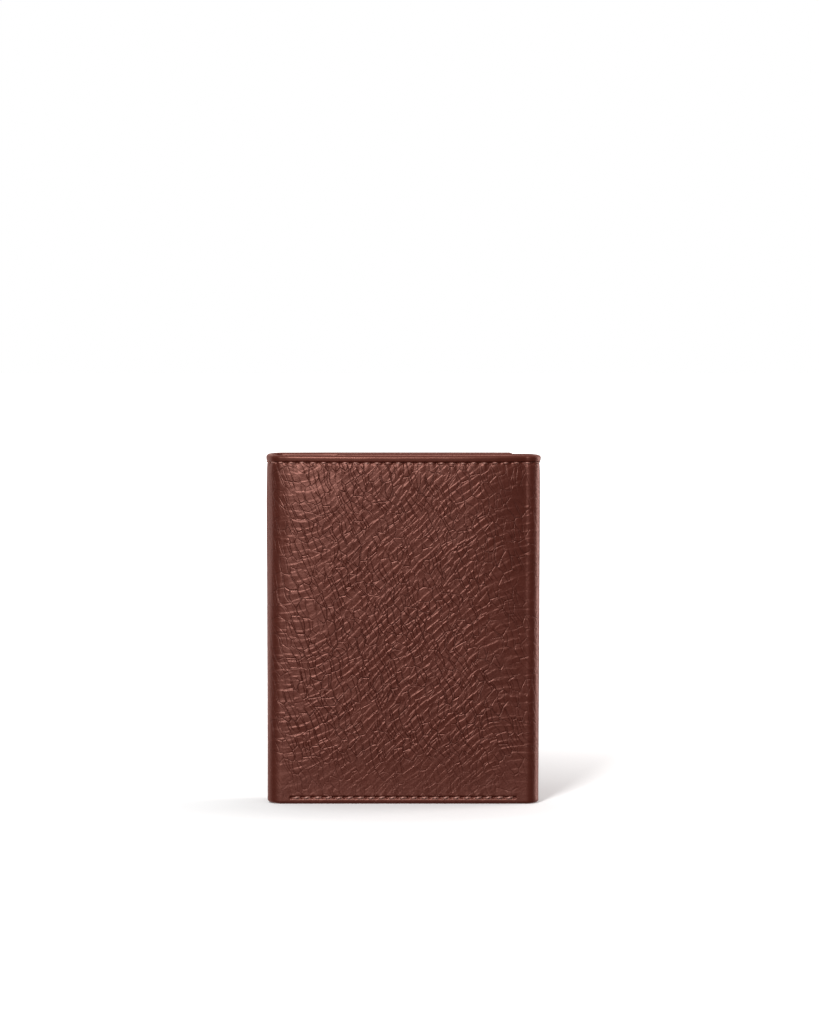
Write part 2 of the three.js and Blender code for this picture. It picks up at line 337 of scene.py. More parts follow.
def make_mesh(name, points, faces, normals=None, values=None):
    mesh = bpy.data.meshes.new(name)
    mesh.from_pydata((points * MM).tolist(), [], faces)
    mesh.update()
    mesh.shade_smooth()
    for key, data in (values or {}).items():
        kind = "FLOAT_VECTOR" if data.ndim == 2 else "FLOAT"
        attribute = mesh.attributes.new(key, kind, "POINT")
        attribute.data.foreach_set("vector" if data.ndim == 2 else "value", data.astype(np.float32).ravel())
    if normals is not None:
        mesh.normals_split_custom_set_from_vertices(normals.tolist())
    piece = bpy.data.objects.new(name, mesh)
    bpy.context.scene.collection.objects.link(piece)
    return piece


def layer(name, columns, rows, near_depth, far_depth, spec, factor=1, near_normals=None, marks=None):
    """A closed sheet between two depths under the leather's face. near is the side towards the outside
    of the wallet. spec says which edges are rounded over, and how much. marks gives the material's
    values on the near face and on the far face."""
    near, u, z = grid_points(columns, rows, near_depth, spec, "near")
    far_columns = {k: v[::factor].copy() for k, v in columns.items()}
    far_rows = rows[::factor].copy()
    inset = 0.3 * spec["round_radius"]
    tangent = tangents(columns)
    for side, index, sign in (("start", 0, 1), ("end", -1, -1)):
        if side in spec["round"]:
            far_columns["u"][index] += sign * inset
            far_columns["point"][index] += sign * inset * tangent[index]
    if "bottom" in spec["round"]:
        far_rows[0] += inset
    if "top" in spec["round"]:
        far_rows[-1] -= inset
    far, far_u, far_z = grid_points(far_columns, far_rows, far_depth, spec, "far")
    count = near.shape[0] * near.shape[1]
    points = np.concatenate([near.reshape(-1, 3), far.reshape(-1, 3)])
    faces = grid_faces(*near.shape[:2], 0, False).tolist()
    faces += grid_faces(*far.shape[:2], count, True).tolist()
    faces += bridge(border(*near.shape[:2], 0), border(*far.shape[:2], count), factor)
    if near_normals is None:
        near_normals = grid_normals(near, 1)
    normals = np.concatenate([near_normals.reshape(-1, 3), grid_normals(far, -1).reshape(-1, 3)])
    rest = np.concatenate([
        np.stack([u, z, np.zeros(u.shape)], -1).reshape(-1, 3),
        np.stack([far_u, far_z, np.full(far_u.shape, 50.0)], -1).reshape(-1, 3),
    ])
    values = marks(u, z, far_u, far_z) if marks else {}
    return make_mesh(name, points, faces, normals, {"rest_mm": rest, **values})


# ---------------------------------------------------------------- the outer leather


def slope_sum():
    """The height that the diagonal creases climb along the strip, at fine steps of u."""
    u = np.linspace(U_START - 5, U_END + 5, 2400)
    steep = np.zeros(u.shape)
    for name in ("outer_flap", "center", "inner_flap"):
        a, b = STRIP[name]["u"][0], STRIP[name]["u"][-1]
        steep += between(a + 2, a + 19, b - 20, b - 1, u)
    climb = 0.06 + 0.84 * steep
    return u, np.concatenate([[0], np.cumsum((climb[1:] + climb[:-1]) / 2 * np.diff(u))])


SLOPE_U, SLOPE_Z = slope_sum()
ROW_CELL = 2.8  # spacing of the diagonal creases, measured upwards
COLUMN_CELL = 2.3  # spacing of the steep creases, measured along the strip
STEEP_LEAN = 0.4


def grain_axes(u, z):
    """Warped axes of the grain. A diagonal crease runs where row is a whole number, a steep one where
    column is, and a second, steeper diagonal where cross is."""
    climb = np.interp(u, SLOPE_U, SLOPE_Z)
    lean = 1.6 * noise(u / 14 + 9, z / 12 + 5, 2) + 1.0 * noise(u / 4.6 + 7, z / 4.0, 3)
    column = (u + STEEP_LEAN * z + lean) / COLUMN_CELL
    warp = 1.6 * noise(u / 13, z / 13, 0) + 0.65 * noise(u / 5.2, z / 5.2, 1)
    row = (z - climb + warp) / ROW_CELL
    cross = (z - 2.1 * climb + 1.6 * noise(u / 9 + 2, z / 9, 3) + 0.6 * noise(u / 3, z / 3 + 8, 0)) / 4.4
    return row, column, cross


def step(t, width):
    """Rises through each whole number's span, then drops in the last part of it."""
    part = t - np.floor(t)
    return part - fade(np.clip((part - 1 + width) / width, 0, 1))


def nick(t, width):
    """1 at whole numbers, falling to 0 within width."""
    return 1 - fade(np.clip(np.abs(t - np.round(t)) / width, 0, 1))


def on_folds(u):
    """1 on the spines and folds, 0 on the flat panels, with soft ends."""
    total = np.zeros(np.shape(u))
    for first, last in SPINE_RUNS:
        a, b = STRIP[first]["u"][0], STRIP[last]["u"][-1]
        total = total + between(a - 3, a + 2, b - 2, b + 3, u)
    return total


def grain_strength(u, z):
    """Where the tumbled grain is full and where the leather is pulled smooth."""
    top_right = smoothstep(8, 34, u) * smoothstep(78, 104, z) * (u < 60)
    right_side = smoothstep(16, 36, u) * (u < 60)
    low_part = 1 - smoothstep(3, 22, z)
    patch = 0.12 * noise(u / 17 + 2, z / 17 + 6, 3)
    strength = 1 - 0.3 * top_right - 0.15 * right_side - 0.62 * low_part - 0.2 * on_folds(u) + patch
    return np.clip(strength, 0.15, 1.15)


def seam_holes(u, phase):
    """Distance along the seam from the nearest hole."""
    t = (u - phase) / STITCH
    return (t - np.round(t)) * STITCH


def seam_ranges():
    """Where each level seam runs, as (u start, u end)."""
    centre, outer, inner = (STRIP[n]["u"] for n in ("center", "outer_flap", "inner_flap"))
    top = (U_START + SIDE_SEAM_INSET, U_END - SIDE_SEAM_INSET)
    bottom = [
        (outer[0] + SIDE_SEAM_INSET, outer[-1] - 2.5),
        (centre[0] + 2.6, centre[-1] - 3.1),
        (inner[0] + 2.5, inner[-1] - SIDE_SEAM_INSET),
    ]
    return top, bottom


TOP_RANGE, BOTTOM_RANGES = seam_ranges()


def bottom_phase(start, end):
    count = round((end - start) / STITCH)
    return (start + end) / 2 - (count % 2) * STITCH / 2


def groove(distance, along, amount, width, hole):
    line = amount * np.exp(-((distance / width) ** 2))
    holes = hole * np.exp(-((distance / 0.32) ** 2) - (along / 0.36) ** 2)
    return line + holes


def seam_relief(u, z):
    """Grooves, needle holes and the puckered leather beside each seam."""
    top_z = HEIGHT - SEAM_INSET
    below = top_z - z
    hole = seam_holes(u, TOP_SEAM_PHASE)
    in_top = between(TOP_RANGE[0] - 0.3, TOP_RANGE[0] + 0.3, TOP_RANGE[1] - 0.3, TOP_RANGE[1] + 0.3, u)
    relief = -groove(below, hole, 0.34, 0.34, 0.42) * in_top
    wave = np.cos(2 * math.pi * seam_holes(u, TOP_SEAM_PHASE + STITCH / 2) / STITCH)
    under = np.where(below > 0.3, np.exp(-np.maximum(below - 0.5, 0) / 1.7), 0)
    relief -= in_top * under * (0.2 - 0.12 * wave * (0.7 + 0.5 * noise(u / 5, z / 9, 2)))
    pulled = np.where(below > 0.4, np.exp(-np.maximum(below - 0.8, 0) / 4.5), 0)
    flats = 1 - on_folds(u)
    relief -= 0.15 * flats * pulled * ridges(u / 1.9 + 0.25 * noise(z / 3, u / 3, 1), z / 9 + u / 11, 2, 5)
    for start, end in BOTTOM_RANGES:
        inside = between(start - 0.3, start + 0.2, end - 0.2, end + 0.3, u)
        above = z - BOTTOM_SEAM_Z
        phase = bottom_phase(start, end)
        relief -= inside * groove(above, seam_holes(u, phase), 0.26, 0.36, 0.3)
        over = np.where(above > 0.3, np.exp(-np.maximum(above - 0.5, 0) / 2.2), 0)
        wave = np.cos(2 * math.pi * seam_holes(u, phase + STITCH / 2) / STITCH)
        relief += inside * over * (0.1 + 0.04 * wave)
        fine = np.exp(-np.maximum(above, 0) / 9)
        relief -= 0.045 * inside * fine * ridges(u / 2.3, z / 14 + u / 17, 3, 6) * (above > 0.4)
    for edge_u, sign in ((U_START, 1), (U_END, -1)):
        inward = (u - edge_u) * sign - SIDE_SEAM_INSET
        inside = between(1.6, 2.2, HEIGHT - 2.6, HEIGHT - 2.0, z)
        relief -= inside * groove(inward, seam_holes(z, BOTTOM_SEAM_Z), 0.3, 0.34, 0.35)
        beside = np.where(inward > 0.3, np.exp(-np.maximum(inward - 0.5, 0) / 2), 0)
        relief += inside * beside * 0.1
    return relief


def edge_band(u, z):
    """1 on the smooth turned edge outside the seams, 0 on the grained leather."""
    top = smoothstep(HEIGHT - SEAM_INSET - 0.1, HEIGHT - SEAM_INSET + 0.35, z)
    bottom = 1 - smoothstep(BOTTOM_SEAM_Z - 0.5, BOTTOM_SEAM_Z - 0.1, z)
    start = 1 - smoothstep(SIDE_SEAM_INSET - 0.5, SIDE_SEAM_INSET, u - U_START)
    end = 1 - smoothstep(SIDE_SEAM_INSET - 0.5, SIDE_SEAM_INSET, U_END - u)
    return np.maximum(np.maximum(top, 0.6 * bottom), np.maximum(start, end))


def grain_amounts(u, z, row, column):
    """How strongly each set of creases shows at a point."""
    strength = grain_strength(u, z) * (1 - edge_band(u, z))
    rows = np.clip(0.8 + 0.7 * noise(column * 0.9, row * 0.9, 3) + 0.3 * noise(u, z, 1), 0.05, 1.3) * strength
    columns = np.clip(0.85 + 0.9 * noise(column * 0.9 + 9, row + 4, 0), 0.0, 1.0) * strength
    columns = columns * (1 - 0.3 * on_folds(u))
    across = np.clip(0.25 + 1.2 * noise(u / 2.2 + 5, z / 2.2 + 1, 1), 0.0, 1.0) * strength
    return rows, columns, across * (1 - on_folds(u))


def leather_relief(u, z):
    """Height of the leather's surface over its smooth form, and how deep each point is in a crease."""
    row, column, cross = grain_axes(u, z)
    rows, columns, across = grain_amounts(u, z, row, column)
    height = 0.024 * rows * (step(row, 0.2) - 0.4) + 0.014 * across * (step(cross, 0.16) - 0.4)
    height -= 0.04 * columns * nick(column, 0.16)
    height += 0.014 * rows * noise(row * 1.6 + 3, column * 1.9, 1) + 0.01 * noise(u / 0.7, z / 0.7, 0) * rows
    crease = np.clip(columns * nick(column, 0.16) + 0.7 * rows * nick(row + 0.04, 0.13), 0, 1)
    band = edge_band(u, z)
    lean = 0.09 * np.clip(z - HEIGHT + SEAM_INSET, 0, SEAM_INSET)  # the top edge leans out a little
    height = height + band * (0.02 + lean + 0.018 * noise(u / 2.4, z / 1.3, 1))
    return height + seam_relief(u, z), crease


def fold_lift(u, z):
    """The fold leather draws up a little at the bottom corners and down at the top ones."""
    total = np.zeros(np.shape(u))
    for (first, last), amount in zip(SPINE_RUNS, (0.3, 0.25)):
        a, b = STRIP[first]["u"][0], STRIP[last]["u"][-1]
        total = total + amount * between(a, a + 5, b - 5, b, u)
    return total * (np.exp(-z / 3.0) - 0.35 * np.exp(-(HEIGHT - z) / 2.0))


LEATHER_ROWS = spaced(0, HEIGHT, 0.31, (0, BOTTOM_SEAM_Z, HEIGHT - SEAM_INSET, HEIGHT), 0.8, 2.0)
SHELL_ROUND = {"outer_flap": ("top", "bottom", "start"), "inner_flap": ("top", "bottom", "end")}


def thickness(u, z):
    from_edge = np.minimum(np.minimum(z, HEIGHT - z), np.minimum(u - U_START, U_END - u))
    single = smoothstep(TURN_IN_REACH - 0.8, TURN_IN_REACH, from_edge)
    return EDGE_THICKNESS + (LEATHER - EDGE_THICKNESS) * single


def shell_spec(name):
    run = STRIP[name]["u"]
    return {
        "u0": run[0], "u1": run[-1], "z0": 0.0, "z1": HEIGHT,
        "round": SHELL_ROUND.get(name, ("top", "bottom")),
        "corner": EDGE_CORNER, "round_radius": EDGE_THICKNESS / 2, "lift": fold_lift,
    }


def make_shell():
    """All nine stretches of the outer leather, with normals that run on from one to the next."""

    def outside(u, z):
        return -leather_relief(u, z)[0]

    grids = {n: grid_points(STRIP[n], LEATHER_ROWS, outside, shell_spec(n), "near")[0] for n in STRIP}
    names = list(STRIP)
    whole = np.concatenate([grids[n] if i == 0 else grids[n][:, 1:] for i, n in enumerate(names)], 1)
    normals = grid_normals(whole, 1)
    at, made = 0, {}

    def marks(u, z, far_u, far_z):
        axes = grain_axes(u, z)
        amounts = grain_amounts(u, z, axes[0], axes[1])
        plain = np.zeros((far_u.size, 3))
        return {
            "crease": np.concatenate([leather_relief(u, z)[1].ravel(), np.zeros(far_u.size)]),
            "band": np.concatenate([edge_band(u, z).ravel(), np.ones(far_u.size)]),
            "grain": np.concatenate([np.stack(axes, -1).reshape(-1, 3), plain]),
            "amount": np.concatenate([np.stack(amounts, -1).reshape(-1, 3), plain]),
        }

    for name in names:
        count = len(STRIP[name]["u"])
        node = name if name.endswith("fold") else f"{name}_shell"
        made[name] = layer(
            f"{node}_leather", STRIP[name], LEATHER_ROWS, outside, thickness, shell_spec(name), 4,
            normals[:, at:at + count], marks,
        )
        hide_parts(node)
        at += count - 1
    return made


# ---------------------------------------------------------------- materials


class Nodes:
    """The shader nodes of a material or a world, built by short calls."""

    def __init__(self, data, shader="Principled BSDF"):
        data.use_nodes = True
        self.data = data
        self.tree = data.node_tree
        self.shader = self.tree.nodes[shader]

    def node(self, kind, inputs=None, **settings):
        made = self.tree.nodes.new(kind)
        for key, value in settings.items():
            setattr(made, key, value)
        for key, value in (inputs or {}).items():
            self.feed(made.inputs[key], value)
        return made

    def feed(self, socket, value):
        if isinstance(value, bpy.types.NodeSocket):
            self.tree.links.new(value, socket)
        else:
            socket.default_value = value

    def math(self, operation, a, b=0.0, c=0.0):
        made = self.node("ShaderNodeMath", operation=operation)
        for socket, value in zip(made.inputs, (a, b, c)):
            self.feed(socket, value)
        return made.outputs[0]

    def value(self, name):
        return self.node("ShaderNodeAttribute", attribute_name=name).outputs["Fac"]

    def place(self, name="rest_mm"):
        return self.node("ShaderNodeAttribute", attribute_name=name).outputs["Vector"]

    def noise(self, vector, scale, detail=2.0, roughness=0.5):
        inputs = {"Vector": vector, "Scale": scale, "Detail": detail, "Roughness": roughness}
        return self.node("ShaderNodeTexNoise", inputs).outputs[0]

    def cells(self, vector, scale):
        return self.node("ShaderNodeTexVoronoi", {"Vector": vector, "Scale": scale}).outputs["Distance"]

    def ramp(self, factor, stops):
        made = self.node("ShaderNodeValToRGB")
        elements = made.color_ramp.elements
        while len(elements) < len(stops):
            elements.new(0.5)
        for element, (position, colour) in zip(elements, stops):
            element.position = position
            element.color = (*colour, 1.0)
        self.feed(made.inputs["Fac"], factor)
        return made.outputs["Color"]

    def mix(self, factor, a, b):
        return self.node("ShaderNodeMix", {0: factor, 6: a, 7: b}, data_type="RGBA").outputs[2]

    def scaled(self, factor, from_low, from_high, to_low, to_high):
        return self.node("ShaderNodeMapRange", {
            "Value": factor, "From Min": from_low, "From Max": from_high, "To Min": to_low, "To Max": to_high,
        }).outputs[0]

    def step(self, t, width):
        """Rises through each whole number's span, then drops in the last part of it."""
        part = self.math("FRACT", t)
        return self.math("SUBTRACT", part, self.scaled(part, 1 - width, 1.0, 0.0, 1.0))

    def nick(self, t, width):
        """1 at whole numbers, falling to 0 within width."""
        return self.fading(self.math("PINGPONG", t, 0.5), width)

    def fading(self, value, width):
        """1 at zero, falling smoothly to 0 at width."""
        return self.node("ShaderNodeMapRange", {
            "Value": value, "From Max": width, "To Min": 1.0, "To Max": 0.0,
        }, interpolation_type="SMOOTHSTEP").outputs[0]

    def parts(self, vector):
        return self.node("ShaderNodeSeparateXYZ", {"Vector": vector}).outputs

    def bump(self, height, distance, strength=1.0):
        inputs = {"Height": height, "Distance": distance, "Strength": strength}
        return self.node("ShaderNodeBump", inputs).outputs["Normal"]

    def set(self, **values):
        for key, value in values.items():
            self.feed(self.shader.inputs[key.replace("_", " ").title().replace("Ior", "IOR")], value)
        return self.data


def outer_leather():
    m = Nodes(bpy.data.materials.new("outer_leather"))
    place, crease, band = m.place(), m.value("crease"), m.value("band")
    row, column, cross = m.parts(m.place("grain"))
    rows, columns, across = m.parts(m.place("amount"))
    mottle = m.noise(place, 0.09, 3.0, 0.6)
    pores = m.noise(place, 1.7, 4.0, 0.62)
    base = m.ramp(mottle, [(0.3, (0.045, 0.0078, 0.0045)), (0.7, (0.055, 0.0099, 0.0057))])
    worn = m.mix(m.scaled(pores, 0.45, 0.75, 0.0, 0.35), base, (0.092, 0.021, 0.0135, 1.0))
    # painted shade: the crease lines, sunk in the bump, are darkened towards this colour
    crease_shade = (0.023, 0.0032, 0.0020, 1.0)
    cells = m.node("ShaderNodeCombineXYZ", {
        "X": m.math("MULTIPLY", column, 0.8), "Y": m.math("MULTIPLY", row, 0.62),
    }).outputs[0]
    edge, cell = (
        m.node("ShaderNodeTexVoronoi", {
            "Vector": cells, "Scale": 1.0, "Randomness": 0.85,
        }, voronoi_dimensions="2D", feature=feature).outputs for feature in ("DISTANCE_TO_EDGE", "F1")
    )
    offset = m.node("ShaderNodeVectorMath", {0: cells, 1: cell["Position"]}, operation="SUBTRACT").outputs[0]
    right, up, _ = m.parts(offset)
    shingle = m.math("MULTIPLY_ADD", right, -0.3, up)  # each cell of the grain tilts over the next one up
    shift = m.scaled(m.parts(cell["Color"])[0], 0.0, 1.0, -0.25, 0.25)
    creases = m.step(m.math("ADD", row, shift), 0.15)  # the diagonal creases break at the cells' borders
    steep = m.math("MULTIPLY", m.nick(m.math("ADD", column, shift), 0.1), 0.9)
    lines = m.math("MULTIPLY", m.math("MAXIMUM", m.fading(edge["Distance"], 0.075), steep), columns)
    # painted shade in the crease lines
    with_crease_shade = m.mix(m.math("MULTIPLY", lines, 0.75), worn, crease_shade)
    smooth = m.mix(m.math("MULTIPLY", band, 0.6), with_crease_shade, (0.054, 0.0092, 0.0054, 1.0))
    fine = m.noise(place, 4.6, 3.0, 0.65)
    height = m.math("MULTIPLY_ADD", shingle, 0.45, creases)
    height = m.math("MULTIPLY", height, m.math("MULTIPLY", rows, 0.08))
    height = m.math("MULTIPLY_ADD", m.math("MULTIPLY", m.step(cross, 0.12), across), 0.06, height)
    height = m.math("SUBTRACT", height, m.math("MULTIPLY", lines, 0.09))
    grain = m.math("MULTIPLY_ADD", m.cells(place, 1.4), 0.022, m.math("MULTIPLY", fine, 0.02))
    height = m.math("MULTIPLY_ADD", grain, m.scaled(band, 0.0, 1.0, 1.0, 0.2), height)
    rough = m.math("MULTIPLY_ADD", crease, 0.1, m.scaled(fine, 0.3, 0.7, 0.39, 0.47))
    return m.set(
        base_color=smooth, roughness=rough, normal=m.bump(height, 0.001),
        specular_ior_level=0.95, ior=1.5, specular_tint=(1.0, 0.48, 0.39, 1.0),
        sheen_weight=0.12, sheen_roughness=0.3, sheen_tint=(1.0, 0.5, 0.4, 1.0),
    )


def inner_leather():
    m = Nodes(bpy.data.materials.new("inner_leather"))
    place = m.place()
    mottle = m.noise(place, 0.12, 3.0, 0.55)
    base = m.ramp(mottle, [(0.3, (0.105, 0.0200, 0.0115)), (0.7, (0.132, 0.0260, 0.0155))])
    grain = m.cells(place, 1.5)
    fine = m.noise(place, 3.6, 3.0, 0.6)
    # painted shade: the grain's pits, low in the bump, are darkened
    base = m.mix(m.scaled(grain, 0.0, 0.5, 0.25, 0.0), base, (0.055, 0.009, 0.006, 1.0))
    height = m.math("MULTIPLY_ADD", grain, 0.8, m.math("MULTIPLY", fine, 0.35))
    return m.set(
        base_color=base, roughness=m.scaled(fine, 0.3, 0.7, 0.46, 0.56),
        normal=m.bump(height, 0.00009, 0.8), specular_ior_level=0.45,
    )


def woven_fabric():
    m = Nodes(bpy.data.materials.new("lining_fabric"))
    place = m.place()
    split = m.parts(place)
    wobble = m.math("MULTIPLY", m.noise(place, 0.5, 2.0), 0.5)
    across = m.math("ADD", split[0], wobble)
    up = m.math("ADD", split[1], wobble)
    turns = 2 * math.pi / 0.62  # two threads in 0.62 mm
    warp = m.math("SINE", m.math("MULTIPLY", across, turns))
    weft = m.math("SINE", m.math("MULTIPLY", up, turns))
    weave = m.math("MULTIPLY", warp, weft)
    slub = m.noise(place, 0.8, 3.0, 0.7)
    thread = m.scaled(weave, -1.0, 1.0, 0.0, 1.0)
    # painted shade and light: the weave's gaps, low in the bump, are dark and the thread crowns light
    base = m.ramp(thread, [(0.0, (0.022, 0.0085, 0.0065)), (1.0, (0.064, 0.025, 0.019))])
    base = m.mix(m.scaled(slub, 0.4, 0.7, 0.0, 0.35), base, (0.088, 0.036, 0.027, 1.0))
    return m.set(
        base_color=base, roughness=0.82, normal=m.bump(weave, 0.00008, 0.8), specular_ior_level=0.3,
        sheen_weight=0.25, sheen_roughness=0.5,
    )


def waxed_thread():
    m = Nodes(bpy.data.materials.new("waxed_thread"))
    split = m.parts(m.place())
    strands = m.math("MULTIPLY_ADD", split[1], 2.0, m.math("MULTIPLY", split[0], 5.5))
    twist = m.math("SINE", strands)
    fuzz = m.noise(m.place(), 1.4, 3.0, 0.6)
    strand = m.scaled(twist, -1.0, 1.0, 0.0, 1.0)
    # painted shade and light: the grooves between strands, low in the bump, are dark and the strand crowns
    # light
    base = m.ramp(strand, [(0.0, (0.170, 0.052, 0.036)), (1.0, (0.400, 0.180, 0.140))])
    base = m.mix(m.scaled(fuzz, 0.35, 0.7, 0.0, 0.4), base, (0.480, 0.250, 0.200, 1.0))
    return m.set(
        base_color=base, roughness=0.5, normal=m.bump(twist, 0.00006, 0.8), specular_ior_level=0.5,
    )


def clear_film():
    m = Nodes(bpy.data.materials.new("clear_film"))
    place = m.place()
    haze = m.noise(place, 0.06, 2.0, 0.5)
    scuff = m.noise(place, 0.5, 3.0, 0.6)
    return m.set(
        base_color=m.ramp(haze, [(0.3, (0.86, 0.89, 0.9)), (0.8, (0.96, 0.97, 0.97))]),
        roughness=m.scaled(scuff, 0.4, 0.8, 0.04, 0.14), transmission_weight=1.0, ior=1.48,
        normal=m.bump(haze, 0.0006, 0.5),
    )


MATERIALS = {
    "outer_leather": outer_leather(), "inner_leather": inner_leather(), "lining_fabric": woven_fabric(),
    "thread": waxed_thread(), "clear_plastic": clear_film(),
}


def dress(piece, slot):
    piece.data.materials.append(MATERIALS[slot])


def finish_piece(piece, slot, body):
    """Gives a piece its material and the body it rides on."""
    dress(piece, slot)
    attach(piece, body)
    return piece


def bend_piece(piece, slot, fold):
    """A piece that crosses a fold gets its material and stays fixed in the world, on no body."""
    dress(piece, slot)
    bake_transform(piece)


for stretch, shell_piece in make_shell().items():
    place_on = bend_piece if stretch in FOLD_BODIES else finish_piece
    place_on(shell_piece, "outer_leather", stretch)

# ---------------------------------------------------------------- linings and dividers


def node_box_u(panel, node):
    """A node's extent along the strip: (u start, u end)."""
    run = STRIP[panel]
    return tuple(sorted(run["u"][0] + abs(x - run["point"][0][0]) for x in (low(node)[0], high(node)[0])))


def constant(value):
    return lambda u, z: np.full(np.shape(u), float(value))


def plain_spec(u0, u1, z0, z1, sides=(), corner=0.0, round_radius=0.0):
    return {
        "u0": u0, "u1": u1, "z0": z0, "z1": z1,
        "round": sides, "corner": corner, "round_radius": round_radius,
    }


LINING_Z = low("center_lining")[2], high("center_lining")[2]
LINING_DEPTH = low("center_lining")[1] - FRONT_Y, high("center_lining")[1] - FRONT_Y
LININGS = {
    "lining_outer": (("outer_flap", "left_rear_fold"), "left_rear_fold"),
    "lining_left": (("left_spine", "left_front_fold"), "left_front_fold"),
    "lining_center": (("center", "right_front_fold", "right_spine"), "right_front_fold"),
    "lining_inner": (("right_rear_fold", "inner_flap"), "right_rear_fold"),
}


def make_linings():
    rows = spaced(*LINING_Z, 0.9)
    for name, (stretches, fold) in LININGS.items():
        run = joined(stretches)
        start, end = run["u"][0], run["u"][-1]
        if stretches[0] == "outer_flap":
            start = node_box_u("outer_flap", "outer_flap_lining")[0]
        if stretches[-1] == "inner_flap":
            end = node_box_u("inner_flap", "inner_flap_lining")[1]
        columns = resampled(stretches, round((end - start) / 0.7), start, end)

        def near(u, z):
            return LINING_DEPTH[0] + 0.05 * noise(u / 6, z / 7, 2)

        def far(u, z):
            return LINING_DEPTH[1] + 0.05 * noise(u / 6, z / 7, 2)

        piece = layer(name, columns, rows, near, far, plain_spec(start, end, *LINING_Z))
        bend_piece(piece, "lining_fabric", fold)
        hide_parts(*[f"{s}_lining" for s in stretches])


make_linings()

DIVIDER_Z = low("center_divider")[2], high("center_divider")[2]
DIVIDER_DEPTH = low("center_divider")[1] - FRONT_Y, high("center_divider")[1] - FRONT_Y


def make_dividers():
    rows = spaced(*DIVIDER_Z, 0.8, (DIVIDER_Z[0], DIVIDER_Z[1]), 0.6, 5.0)

    def far(u, z):
        crease = 0.09 * np.exp(-(((DIVIDER_Z[1] - 1.7 - z) / 0.3) ** 2))
        return DIVIDER_DEPTH[1] - crease + 0.03 * noise(u / 5, z / 6, 0)

    for name, run in STRIP.items():
        start, end = run["u"][0], run["u"][-1]
        sides = ("top", "bottom")
        if name == "outer_flap":
            start, sides = node_box_u(name, "outer_flap_divider")[0], sides + ("start",)
        if name == "inner_flap":
            end, sides = node_box_u(name, "inner_flap_divider")[1], sides + ("end",)
        count = FOLD_COLUMNS if name in FOLD_BODIES else max(6, round((end - start) / 0.8))
        columns = resampled((name,), count, start, end)
        spec = plain_spec(start, end, *DIVIDER_Z, sides, 2.0, 0.22)
        piece = layer(f"{name}_divider_leather", columns, rows, constant(DIVIDER_DEPTH[0]), far, spec)
        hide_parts(f"{name}_divider")
        (bend_piece if name in FOLD_BODIES else finish_piece)(piece, "inner_leather", name)


make_dividers()

# ---------------------------------------------------------------- card pockets and window


def panel_depth(panel, node):
    """How deep a node lies under the panel's outer face: (near, far)."""
    face = STRIP[panel]["point"][0][1]
    sizes = abs(low(node)[1] - face), abs(high(node)[1] - face)
    return min(sizes), max(sizes)


def make_panel_piece(panel, node, slot, seams=(), corner=1.6, wave=0.05, mouth=True):
    """A flat layer on a panel, its visible face towards the inside of the wallet. seams are the places,
    as u, of upright seams in it, whose stitches sink into the leather."""
    u0, u1 = node_box_u(panel, node)
    z0, z1 = low(node)[2], high(node)[2]
    near_depth, far_depth = panel_depth(panel, node)
    columns = columns_at(STRIP[panel], spaced(u0, u1, 0.6, [u0, u1, *seams], 0.7, 4.0))
    rows = spaced(z0, z1, 0.6, (z0, z1 - 1.7, z1), 0.7, 4.0)

    def far(u, z):
        total = far_depth + wave * noise(u / 9 + far_depth, z / 11 + z1, 1)
        total = total + 0.012 * noise(u / 1.1, z / 1.1, 2)
        if mouth:
            total = total - 0.09 * np.exp(-(((z1 - 1.7 - z) / 0.22) ** 2))
        for seam in seams:
            total = total - 0.1 * np.exp(-(((u - seam) / 0.4) ** 2))
        return total

    spec = plain_spec(u0, u1, z0, z1, ("start", "end", "top", "bottom"), corner, (far_depth - near_depth) / 2)
    piece = layer(f"{node}_piece", columns, rows, constant(near_depth), far, spec)
    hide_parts(node)
    finish_piece(piece, slot, panel)


POCKET_SEAM_INSET = 1.6


def pocket_seam(panel):
    """Where the pockets are sewn down on the side of the fold."""
    u0, u1 = node_box_u(panel, f"{panel}_pocket_lower")
    return u1 - POCKET_SEAM_INSET if panel == "outer_flap" else u0 + POCKET_SEAM_INSET


def free_seam(panel):
    return U_START + SIDE_SEAM_INSET if panel == "outer_flap" else U_END - SIDE_SEAM_INSET


for flap in ("outer_flap", "inner_flap"):
    for level in ("upper", "middle", "lower"):
        sewn = pocket_seam(flap), free_seam(flap)
        make_panel_piece(flap, f"{flap}_pocket_{level}", "inner_leather", sewn)

make_panel_piece("center", "id_slip_pocket", "inner_leather")
make_panel_piece("center", "id_window", "clear_plastic", corner=2.0, wave=0.12, mouth=False)


OUTLINE_STEPS = 90, 8  # along each side and round each corner


def rounded_outline(x0, x1, z0, z1, radius):
    """Points round a rounded rectangle, anticlockwise from its lower left."""
    side_steps, corner_steps = OUTLINE_STEPS
    centres = [
        (x0 + radius, z0 + radius, 180), (x1 - radius, z0 + radius, 270),
        (x1 - radius, z1 - radius, 0), (x0 + radius, z1 - radius, 90),
    ]

    def on_corner(k, degrees):
        angle = math.radians(degrees)
        return np.array(centres[k % 4][:2]) + radius * np.array((math.cos(angle), math.sin(angle)))

    points = []
    for k, (_, _, first) in enumerate(centres):
        points += [on_corner(k, first + 90 * j / corner_steps) for j in range(corner_steps + 1)]
        here, there = points[-1], on_corner(k + 1, first + 90)
        points += [here + (there - here) * j / side_steps for j in range(1, side_steps)]
    return np.array(points)


def closed_ring(outlines):
    """A ring whose cross-section runs through the outlines, each (stations, 3), and closes on itself."""
    points = np.concatenate(outlines)
    at = np.arange(len(points)).reshape(len(outlines), -1)
    across = np.concatenate([at, at[:1]])
    around = np.concatenate([across, across[:, :1]], 1)
    corners = [around[:-1, :-1], around[1:, :-1], around[1:, 1:], around[:-1, 1:]]
    return points, np.stack(corners, -1).reshape(-1, 4).tolist()


